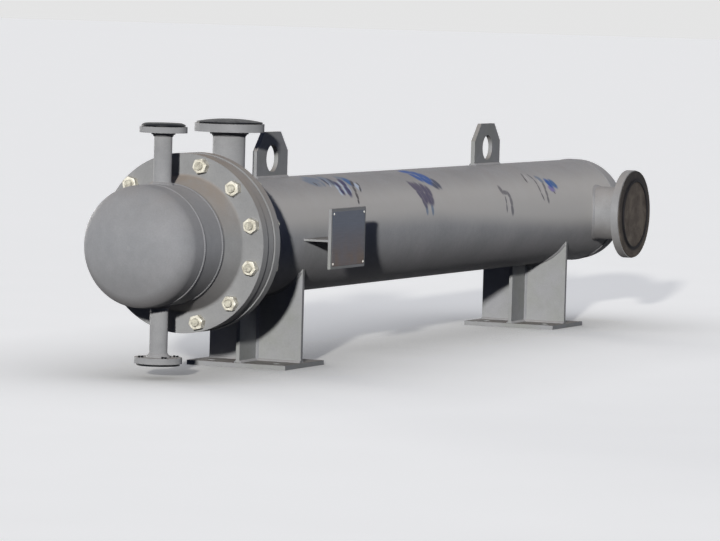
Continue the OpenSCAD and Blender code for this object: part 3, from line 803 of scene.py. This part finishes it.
def grown(name: str, tree: Tree, sizes: dict) -> Piece:
    """Runs a geometry tree with these sizes and keeps its result as a plain mesh.

    Args:
        name: The piece's name.
        tree: The geometry tree.
        sizes: The values of the tree's inputs, by name.

    Returns:
        The finished object, at the origin and with no modifier.
    """
    host = placed(name + "_host", bpy.data.meshes.new(name + "_host"))
    modifier = host.modifiers.new("grow", "NODES")
    modifier.node_group = tree
    for item in tree.interface.items_tree:
        if item.in_out == "INPUT":
            modifier[item.identifier] = sizes[item.name]
    bpy.context.view_layer.update()
    host.update_tag()
    shown = host.evaluated_get(bpy.context.evaluated_depsgraph_get())
    piece = placed(name, bpy.data.meshes.new_from_object(shown))
    piece.data.name = name
    bpy.data.objects.remove(host)
    return piece


@dataclass
class HexNut:
    """A hexagon nut with chamfered corners and a washer face."""

    width: float
    height: float
    bore_d: float
    washer_h: float = 0.8
    washer_share: float = 0.475
    chamfer_deg: float = 30.0
    sink_share: float = 0.08
    steps: int = 48

    def shape(self) -> Piece:
        """Builds the nut on its bearing face, its free end towards +Z.

        Returns:
            The nut as an object.
        """
        bevel_r = self.washer_share * self.width
        bore_r = self.bore_d / 2
        sink = self.sink_share * bore_r
        sixth = math.pi / 3
        points = []
        for a in full_turn(self.steps):
            corner_r = self.width / 2 / math.cos((a + sixth / 2) % sixth - sixth / 2)
            drop = (corner_r - bevel_r) * math.tan(math.radians(self.chamfer_deg))
            outline = ((bore_r, 0), (bevel_r, 0), (bevel_r, self.washer_h),
                       (corner_r, self.washer_h), (corner_r, self.height - drop),
                       (bevel_r, self.height), (bore_r + sink, self.height),
                       (bore_r, self.height - sink))
            points += [polar(r, a, z) for r, z in outline]
        faces = grid_faces(self.steps, len(outline), Ends.JOINED)
        return solid_object("girth_nut", points, faces, 25.0)


@dataclass
class ThreadedStud:
    """A stud with a cut thread at both ends and bevelled tips."""

    diameter: float
    run: float
    pitch: float = 3.175
    depth_share: float = 0.61
    rows_a_turn: int = 6
    thread_run: float = 18.0
    bevel: float = 1.85
    around: int = 24

    def shape(self) -> Piece:
        """Builds the stud along +Z from its lower tip.

        Returns:
            The stud as an object.
        """
        fine = self.pitch / self.rows_a_turn
        rows = [k * fine for k in range(int(self.thread_run / fine) + 1)]
        heights = rows + [self.run - z for z in reversed(rows)]
        points = []
        for z in heights:
            bevelled = self.bevel - min(z, self.run - z)
            for k, a in enumerate(full_turn(self.around)):
                turn = (z / self.pitch - k / self.around) % 1.0
                cut = self.depth_share * self.pitch * (1 - abs(2 * turn - 1))
                points.append(polar(self.diameter / 2 - max(cut, bevelled), a, z))
        faces = grid_faces(len(heights), self.around, Ends.CAPPED)
        return solid_object("girth_stud", points, faces, 40.0)


@dataclass
class GirthBolting:
    """The studs and heavy nuts that draw the channel, the tubesheet and the shell together."""

    count: int = 12
    circle_d: float = 431.8
    channel_back: float = -477.1
    shell_back: float = -372.2
    stud_d: float = 22.2
    nut_w: float = 36.5
    nut_h: float = 21.8
    thread_fit: float = 0.4
    proud: float = 8.0
    first_seed: int = 3

    @staticmethod
    def circle_tree() -> Tree:
        """Builds the tree that stands pieces round a circle, each with a turn of its own.

        Returns:
            The tree.
        """
        tree, add, given = open_tree("bolt circle", {
            "Piece": "Object", "Count": "Int", "Circle Radius": "Float", "Half Step": "Float",
            "Loose Turn": "Float", "Seed": "Int", "Turn": "Vector", "Place": "Vector",
            "Finish": "Material"})
        circle = add("GeometryNodeMeshCircle", {
            "Vertices": given["Count"], "Radius": given["Circle Radius"]})
        step = add("CombineXYZ", {"Z": given["Half Step"]})
        stepped = add("GeometryNodeTransform", {"Geometry": circle, "Rotation": step})
        chance = add("FunctionNodeRandomValue", {
            2: 0.0, 3: given["Loose Turn"], "Seed": given["Seed"]}, data_type="FLOAT")
        spin = add("CombineXYZ", {"Z": chance})
        piece = add("GeometryNodeObjectInfo", {"Object": given["Piece"]})
        copies = add("GeometryNodeInstanceOnPoints", {
            "Points": stepped, "Instance": piece.outputs["Geometry"], "Rotation": spin})
        close_tree(add, copies, given["Turn"], given["Place"], given["Finish"])
        return tree

    def build(self) -> None:
        """Builds the studs and both sets of nuts in the place of their plain solids."""
        nut = HexNut(self.nut_w, self.nut_h, self.stud_d - self.thread_fit).shape()
        tip = self.nut_h + self.proud
        run = self.shell_back - self.channel_back + 2 * tip
        stud = ThreadedStud(self.stud_d, run).shape()
        sets = (
            ("girth_nuts_near", "girth_nuts_channel_side", nut, ZINC,
             self.channel_back, Facing.TO_CHANNEL, 60.0),
            ("girth_nuts_far", "girth_nuts_shell_side", nut, ZINC,
             self.shell_back, Facing.ALONG_SHELL, 60.0),
            ("girth_stud_set", "girth_studs", stud, STUD_ZINC,
             self.channel_back - tip, Facing.ALONG_SHELL, 360.0),
        )
        tree = self.circle_tree()
        for seed, (name, node, piece, finish, x, facing, loose_deg) in enumerate(
                sets, self.first_seed):
            settle(grown(name, tree, {
                "Piece": piece, "Count": self.count, "Circle Radius": self.circle_d / 2 * MM,
                "Half Step": math.pi / self.count, "Loose Turn": math.radians(loose_deg),
                "Seed": seed, "Turn": (0.0, math.radians(facing.value), 0.0),
                "Place": (x * MM, 0.0, AXIS_H * MM), "Finish": finish.material()}), node)
        for piece in (nut, stud):
            bpy.data.objects.remove(piece)


@dataclass
class SeamBeads:
    """The rippled weld beads round the shell, at the hubs and at the heads."""

    bead_w: float = 10.0
    bead_h: float = 2.0
    ripple_mm: float = 5.0
    ripple_h: float = 0.35
    # The joined beads, the plain solid that they stand for, and their places along the shell
    seams: tuple[tuple[str, str, Span], ...] = (
        ("channel_beads", "channel_seam_welds", (-665.6, -559.6)),
        ("shell_beads", "shell_seam_welds", (-289.7, 2341.0)),
    )

    @staticmethod
    def tree() -> Tree:
        """Builds the tree that lays one rippled bead round the shell.

        Returns:
            The tree.
        """
        tree, add, given = open_tree("seam bead", {
            "Radius": "Float", "Width": "Float", "Height": "Float", "Ripples": "Int",
            "Ripple Height": "Float", "Seed": "Float", "Place": "Vector", "Finish": "Material"})
        steps = add("Math", (given["Ripples"], 4.0), operation="MULTIPLY")
        path = add("GeometryNodeCurvePrimitiveCircle", {
            "Resolution": steps, "Radius": given["Radius"]})
        arc = add("GeometryNodeCurveArc", {"Resolution": 7, "Radius": 1.0, "Sweep Angle": math.pi})
        closed = add("GeometryNodeSetSplineCyclic", {"Geometry": arc, "Cyclic": True})
        half = add("Math", (given["Width"], 0.5), operation="MULTIPLY")
        size = add("CombineXYZ", (half, given["Height"], 1.0))
        section = add("GeometryNodeTransform", {"Geometry": closed, "Scale": size})
        upright = add("GeometryNodeTransform", {
            "Geometry": section, "Rotation": (0.0, 0.0, math.radians(-90.0))})
        swept = add("GeometryNodeCurveToMesh", {"Curve": path, "Profile Curve": upright})
        spot = add("GeometryNodeInputPosition")
        axes = add("SeparateXYZ", (spot,)).outputs
        angle = add("Math", (axes["Y"], axes["X"]), operation="ARCTAN2")
        wander = add("TexNoise", {
            "Vector": spot, "W": given["Seed"], "Scale": per_mm(30.0), "Detail": 2.0},
            noise_dimensions="4D")
        astray = add("Math", (wander, 6.0), operation="MULTIPLY")
        phase = add("Math", (angle, given["Ripples"], astray), operation="MULTIPLY_ADD")
        wave = add("Math", (phase,), operation="SINE")
        lift = add("Math", (wave, given["Ripple Height"]), operation="MULTIPLY")
        outward = add("GeometryNodeInputNormal")
        offset = add("VectorMath", {0: outward, "Scale": lift}, operation="SCALE")
        rippled = add("GeometryNodeSetPosition", {"Geometry": swept, "Offset": offset})
        close_tree(add, rippled, (0.0, math.radians(90.0), 0.0), given["Place"], given["Finish"])
        return tree

    def build(self) -> None:
        """Lays the four beads in the place of their plain solids."""
        tree = self.tree()
        ripples = round(2 * math.pi * SHELL_R / self.ripple_mm)
        for name, node, places in self.seams:
            whole = join_pieces(name, [grown(f"{name}_{x}", tree, {
                "Radius": SHELL_R * MM, "Width": self.bead_w * MM, "Height": self.bead_h * MM,
                "Ripples": ripples, "Ripple Height": self.ripple_h * MM, "Seed": x / 100,
                "Place": (x * MM, 0.0, AXIS_H * MM), "Finish": WELD.material()}) for x in places])
            whole.data.shade_smooth()
            settle(whole, node)


@dataclass
class FilletWeld:
    """A rippled fillet weld, laid along a corner between two faces."""

    leg: float = 6.0
    crown_h: float = 0.7
    ripple_mm: float = 5.0
    ripple_h: float = 0.5
    # How far the ripples drift in radians, and the leg grows and shrinks, and over what length
    drift: Span = (1.3, 31.0)
    swell: Span = (0.05, 17.0)
    shares: tuple[float, ...] = (0.0, 0.2, 0.4, 0.6, 0.8, 1.0)

    def lay(self, name: str, path: Path, ends: Ends = Ends.CAPPED) -> Piece:
        """Lays the weld along a path.

        Args:
            name: The weld's name.
            path: Points on the corner, each with the directions of the weld's two legs.
            ends: Whether the path's ends are filled, or join.

        Returns:
            The weld as an object.
        """
        points: list[Vector] = []
        gone = 0.0
        for k, (root, one, other) in enumerate(path):
            gone += (root - path[max(k - 1, 0)][0]).length
            wave = math.sin(2 * math.pi * gone / self.ripple_mm
                            + self.drift[0] * math.sin(gone / self.drift[1]))
            size = self.leg * (1 + self.swell[0] * math.sin(gone / self.swell[1]))
            points.append(root)
            for share in self.shares:
                crown = math.sin(math.pi * share) * (self.crown_h + self.ripple_h * wave)
                points.append(root + one * size * (1 - share) + other * size * share
                              + (one + other).normalized() * crown)
        weld = solid_object(name, points, grid_faces(len(path), len(self.shares) + 1, ends), 50.0)
        weld.data.materials.append(WELD.material())
        return weld

    def lay_all(self, name: str, paths: list[Path], node: str, ends: Ends = Ends.CAPPED) -> None:
        """Lays welds along all of these paths in the place of their plain solid."""
        welds = [self.lay(f"{name}_{k}", path, ends) for k, path in enumerate(paths)]
        settle(join_pieces(name, welds), node)


def even_steps(run: float, step: float) -> list[float]:
    """Divides a run into equal steps of about this size, both ends included."""
    count = max(2, round(run / step))
    return [run * k / count for k in range(count + 1)]


@dataclass
class NozzleWelds(FilletWeld):
    """The welds where each nozzle leaves the round shell, and those at its flange's hub."""

    step: float = 1.4
    fewest_steps: int = 48
    hub_share: float = 0.6
    # Pipe diameter, place along the shell, height of the hub's back from the centre line, facing
    nozzles: tuple[tuple[float, float, float, Point], ...] = (
        (48.3, -602.1, 292.6, (0.0, 0.0, 1.0)),
        (48.3, -602.1, 292.6, (0.0, 0.0, -1.0)),
        (88.9, -203.0, 287.3, (0.0, 0.0, 1.0)),
        (168.3, 2220.0, 227.1, (0.0, -1.0, 0.0)),
    )

    def paths(self, pipe_r: float, x: float, back: float, out: Vector) -> tuple[Path, Path]:
        """Gives the paths of a nozzle's two welds.

        Args:
            pipe_r: The pipe's radius.
            x: Its place along the shell.
            back: The back of the flange's hub, from the shell's centre line.
            out: The way the nozzle points.

        Returns:
            The path on the round shell, and the one behind the hub.
        """
        middle = Vector((x, 0, AXIS_H))
        side = Vector((1, 0, 0)).cross(out)
        foot, hub = [], []
        for a in full_turn(max(self.fewest_steps, round(2 * math.pi * pipe_r / self.step))):
            radial = Vector((math.cos(a), 0, 0)) + side * math.sin(a)
            near, far = (
                Vector((x + r * math.cos(a), 0, AXIS_H)) + side * (r * math.sin(a))
                + out * math.sqrt(SHELL_R ** 2 - (r * math.sin(a)) ** 2)
                for r in (pipe_r, pipe_r + self.leg))
            foot.append((near, out, (far - near).normalized()))
            hub.append((middle + radial * pipe_r + out * back, -out, radial * self.hub_share))
        return foot, hub

    def build(self) -> None:
        """Lays both welds of all nozzles in the place of their plain solid."""
        paths = [path for pipe_d, x, back, way in self.nozzles
                 for path in self.paths(pipe_d / 2, x, back, Vector(way))]
        self.lay_all("nozzle_weld_set", paths, "nozzle_welds", Ends.JOINED)


@dataclass
class LugWelds(FilletWeld):
    """The fillets along both sides of the lifting lugs' feet."""

    places: Span = (62.0, 1616.0)
    lug_run: float = 200.0
    lug_t: float = 12.7
    step: float = 1.4

    def build(self) -> None:
        """Lays the fillets in the place of their plain solid."""
        half = self.lug_t / 2
        seat = math.sqrt(SHELL_R ** 2 - half ** 2)
        toe = math.sqrt(SHELL_R ** 2 - (half + self.leg) ** 2)
        up = Vector((0, 0, 1))
        paths = []
        for x in self.places:
            for side in (-1, 1):
                slope = Vector((0, side * self.leg, toe - seat)).normalized()
                paths.append([
                    (Vector((x - self.lug_run / 2 + s, side * half, AXIS_H + seat)), up, slope)
                    for s in even_steps(self.lug_run, self.step)])
        self.lay_all("lug_weld_set", paths, "lug_welds")


@dataclass
class SaddleWelds(FilletWeld):
    """The fillets of the saddles, round the shell, beside the ribs and along the feet."""

    places: Span = (0.0, 1970.0)
    saddle_w: float = 280.0
    horn_gap: float = 1.6
    web_t: float = 12.7
    rib_t: float = 11.0
    rib_run: float = 110.0
    base_t: float = 12.7
    step: float = 1.6

    def shell_path(self, x: float, end: int, side: int) -> Path:
        """Gives the path under the shell on one face and one side of a web, from horn to rib.

        Args:
            x: The face of the web.
            end: Which way that face looks along the shell, -1 or 1.
            side: The side of the centre plane, -1 or 1.

        Returns:
            The path's points and legs.
        """
        first = math.asin(self.rib_t / 2 / SHELL_R)
        last = math.asin((self.saddle_w / 2 - self.horn_gap) / (SHELL_R + self.leg))
        path = []
        for s in even_steps((last - first) * SHELL_R, self.step):
            a = first + s / SHELL_R
            down = Vector((0, side * math.sin(a), -math.cos(a)))
            path.append((Vector((x, 0, AXIS_H)) + down * SHELL_R, down, Vector((end, 0, 0))))
        return path

    def straight(self, start: Vector, run: Vector, one: Vector, other: Vector) -> Path:
        """Gives a straight path with constant legs."""
        return [(start + run.normalized() * s, one, other)
                for s in even_steps(run.length, self.step)]

    def build(self) -> None:
        """Lays all fillets of both saddles in the place of their plain solid."""
        up = Vector((0, 0, 1))
        rise = up * (AXIS_H - SHELL_R - self.leg - self.base_t)
        paths = []
        for x in self.places:
            for end in (-1, 1):
                for side in (-1, 1):
                    face = x + end * self.web_t / 2
                    out, over = Vector((end, 0, 0)), Vector((0, side, 0))
                    corner = Vector((face, side * self.rib_t / 2, self.base_t))
                    foot = over * (self.saddle_w - self.rib_t) / 2
                    paths += [self.shell_path(face, end, side),
                              self.straight(corner, rise, out, over),
                              self.straight(corner, out * self.rib_run, up, over),
                              self.straight(corner, foot, up, out)]
        self.lay_all("saddle_weld_set", paths, "saddle_welds")


@dataclass
class BarePlate:
    """The bare nameplate sheet and the four rivets that hold it."""

    middle: Point = (62.0, -243.9, 360.6)
    run: float = 212.0
    height: float = 150.0
    thickness: float = 1.2
    ease: float = 0.35
    corner_r: float = 5.0
    corner_steps: int = 6
    rivet_d: float = 7.0
    rivet_h: float = 2.0
    rivet_inset: float = 6.0
    rivet_rings: int = 5
    rivet_around: int = 20

    def sheet(self) -> Piece:
        """Builds the sheet with rounded corners, its sheared edges eased.

        Returns:
            The sheet as an object.
        """
        x, y, z = self.middle
        half_run, half_h = self.run / 2, self.height / 2
        line = []
        for quarter, (sx, sz) in enumerate(((1, 1), (-1, 1), (-1, -1), (1, -1))):
            for k in range(self.corner_steps + 1):
                a = math.pi / 2 * (quarter + k / self.corner_steps)
                line.append((sx * (half_run - self.corner_r) + self.corner_r * math.cos(a),
                             sz * (half_h - self.corner_r) + self.corner_r * math.sin(a)))
        layers = ((0.0, 0.0), (0.0, self.thickness - self.ease), (self.ease, self.thickness))
        points = [Vector((x + u * (1 - inset / half_run), y - depth, z + w * (1 - inset / half_h)))
                  for inset, depth in layers for u, w in line]
        faces = grid_faces(len(layers), len(line), Ends.CAPPED)
        return solid_object("bare_plate", points, faces, 30.0)

    def rivet(self) -> Piece:
        """Builds one domed rivet head along +Z from its seat.

        Returns:
            The rivet as an object.
        """
        rings, around = self.rivet_rings, self.rivet_around
        points = []
        for j in range(rings):
            a = math.pi / 2 * j / rings
            r, z = self.rivet_d / 2 * math.cos(a), self.rivet_h * math.sin(a)
            points += [polar(r, b, z) for b in full_turn(around)]
        points.append(Vector((0, 0, self.rivet_h)))
        faces = grid_faces(rings, around, Ends.OPEN)
        faces.append(tuple(reversed(range(around))))
        top = (rings - 1) * around
        faces += [(top + k, top + (k + 1) % around, rings * around) for k in range(around)]
        return solid_object("plate_rivet", points, faces, 50.0)

    @staticmethod
    def corner_tree() -> Tree:
        """Builds the tree that stands a rivet at each corner of the sheet.

        Returns:
            The tree.
        """
        tree, add, given = open_tree("corner rivets", {
            "Rivet": "Object", "Run": "Float", "Height": "Float", "Place": "Vector",
            "Finish": "Material"})
        corners = add("GeometryNodeMeshGrid", {
            "Size X": given["Run"], "Size Y": given["Height"], "Vertices X": 2, "Vertices Y": 2})
        rivet = add("GeometryNodeObjectInfo", {"Object": given["Rivet"]})
        copies = add("GeometryNodeInstanceOnPoints", {
            "Points": corners, "Instance": rivet.outputs["Geometry"]})
        close_tree(add, copies, (math.radians(90.0), 0.0, 0.0), given["Place"], given["Finish"])
        return tree

    def build(self) -> None:
        """Builds sheet and rivets in the place of their plain solids."""
        sheet = self.sheet()
        sheet.data.materials.append(STAINLESS.material())
        settle(sheet, "nameplate")
        rivet = self.rivet()
        x, y, z = self.middle
        rivets = grown("plate_rivets", self.corner_tree(), {
            "Rivet": rivet, "Run": (self.run - 2 * self.rivet_inset) * MM,
            "Height": (self.height - 2 * self.rivet_inset) * MM,
            "Place": (x * MM, (y - self.thickness) * MM, z * MM), "Finish": RIVET.material()})
        bpy.data.objects.remove(rivet)
        settle(rivets, "nameplate_rivets")


@dataclass
class Dressing:
    """The finishes of the solids that keep their own shape."""

    finishes: tuple[tuple[Finish, str], ...] = (
        (VESSEL, "channel_head channel_barrel shell_head"),
        (FLANGE, "channel_flange tubesheet shell_flange"),
        (GASKET, "channel_gasket shell_gasket"),
        (SHELL, "shell_cylinder"),
        (NOZZLE, "channel_top_neck channel_top_flange channel_underside_neck"
                 " channel_underside_flange shell_top_neck shell_top_flange shell_side_neck"
                 " shell_side_flange"),
        (CAP, "channel_top_cover channel_underside_cover shell_top_cover"),
        (COVER, "shell_side_cover"),
        (PLATEWORK, "front_lifting_lug rear_lifting_lug front_saddle_web front_saddle_ribs"
                    " front_saddle_base rear_saddle_web rear_saddle_ribs rear_saddle_base"
                    " nameplate_shelf nameplate_backing"),
    )

    def build(self) -> None:
        """Gives each solid its finish."""
        for finish, nodes in self.finishes:
            for node in nodes.split():
                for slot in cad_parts[node].material_slots:
                    slot.material = finish.material()
                LOG.info("%s: %s", node, finish.name)


# Studio and camera

@dataclass
class Studio:
    """A pale floor, a low key lamp in front of the channel, a softer one behind, and a fill."""

    key: float = 1.22
    key_way: Point = (0.94, 0.285, -0.2)
    key_spread_deg: float = 2.0
    back: float = 0.8
    back_way: Point = (-0.55, -0.83, -0.05)
    back_spread_deg: float = 25.0
    lamp_tint: str = "#fffdf8"
    fill: float = 0.085
    fill_slope: float = 0.3
    fill_tint: str = "#90b2ff"
    horizon: float = 0.78
    horizon_rise: float = 0.35
    floor_side: float = 240.0

    def lamp(self, name: str, strength: float, way: Point, spread_deg: float) -> None:
        """Hangs one far lamp.

        Args:
            name: The lamp's name.
            strength: How bright a white face square to the lamp gets.
            way: The way that the light travels.
            spread_deg: The width of the lamp's disc, which softens its shadows.
        """
        light = bpy.data.lights.new(name, "SUN")
        light.energy = strength * math.pi
        light.color = linear_rgba(self.lamp_tint)[:3]
        light.angle = math.radians(spread_deg)
        placed(name, light).rotation_euler = Vector(way).to_track_quat("-Z", "Y").to_euler()

    def sky(self) -> bpy.types.World:
        """Makes a world that lights softly and is seen as a white background.

        Returns:
            The world.
        """
        world = bpy.data.worlds.new("studio")
        world.use_nodes = True
        world.node_tree.nodes.clear()
        add = partial(add_node, world.node_tree)
        way = add("TexCoord").outputs["Generated"]
        rise = add("SeparateXYZ", (way,)).outputs["Z"]
        softer = add("MapRange", (
            rise, 0.0, 1.0, (1 - self.fill_slope) * self.fill, (1 + self.fill_slope) * self.fill))
        fill = add("Background", (self.fill_tint, softer))
        paler = add("MapRange", (rise, 0.0, self.horizon_rise, self.horizon, 1.0),
                    interpolation_type="SMOOTHSTEP")
        white = add("Background", ("#ffffff", paler))
        mixed = add("MixShader", (seen_share(add), fill, white))
        add("OutputWorld", {"Surface": mixed})
        return world

    def build(self) -> None:
        """Makes the lamps, the world and the floor."""
        self.lamp("key", self.key, self.key_way, self.key_spread_deg)
        self.lamp("back", self.back, self.back_way, self.back_spread_deg)
        bpy.context.scene.world = self.sky()
        half = self.floor_side / 2
        mesh = bpy.data.meshes.new("floor")
        mesh.from_pydata([(-half, -half, 0), (half, -half, 0), (half, half, 0), (-half, half, 0)],
                         [], [(0, 1, 2, 3)])
        mesh.materials.append(PaleFloor("studio screed").material())
        placed("floor", mesh)
        LOG.info("studio: key %.2f, fill %.3f", self.key, self.fill)


@dataclass
class PhotoCamera:
    """The camera, placed so that the vessel is seen as in the photograph."""

    place: Point = (-11235.0, -5340.0, 1025.0)
    heading_deg: float = 24.12
    pitch_deg: float = -3.48
    roll_deg: float = 1.52
    lens: float = 225.0
    sensor_w: float = 36.0
    reach: float = 1000.0

    def build(self) -> None:
        """Makes the camera and sets it as the scene's own."""
        turn, dip, roll = (math.radians(v)
                           for v in (self.heading_deg, self.pitch_deg, self.roll_deg))
        look = Vector((math.cos(dip) * math.cos(turn), math.cos(dip) * math.sin(turn),
                       math.sin(dip)))
        right = look.cross(Vector((0, 0, 1))).normalized()
        up = right.cross(look)
        level = right * math.cos(roll) + up * math.sin(roll)
        upright = up * math.cos(roll) - right * math.sin(roll)
        optics = bpy.data.cameras.new("photo")
        optics.lens = self.lens
        optics.sensor_width = self.sensor_w
        optics.sensor_fit = "HORIZONTAL"
        optics.clip_end = self.reach
        camera = placed("photo", optics)
        camera.matrix_world = (Matrix.Translation(Vector(self.place) * MM)
                               @ Matrix((level, upright, -look)).transposed().to_4x4())
        bpy.context.scene.camera = camera
        LOG.info("camera: %.1f m from the front saddle", (Vector(self.place) * MM).length)


def main() -> None:
    """Dresses the vessel, builds its detailed pieces, and sets the studio and the camera."""
    logging.basicConfig(level=logging.INFO, format="%(name)s %(message)s")
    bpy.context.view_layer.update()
    bpy.context.scene.view_settings.view_transform = "Standard"
    for part in (PhotoCamera(), Studio(), Dressing(), GirthBolting(), SeamBeads(),
                 NozzleWelds(), LugWelds(), SaddleWelds(), BarePlate()):
        part.build()


if __name__ == "__main__":
    main()
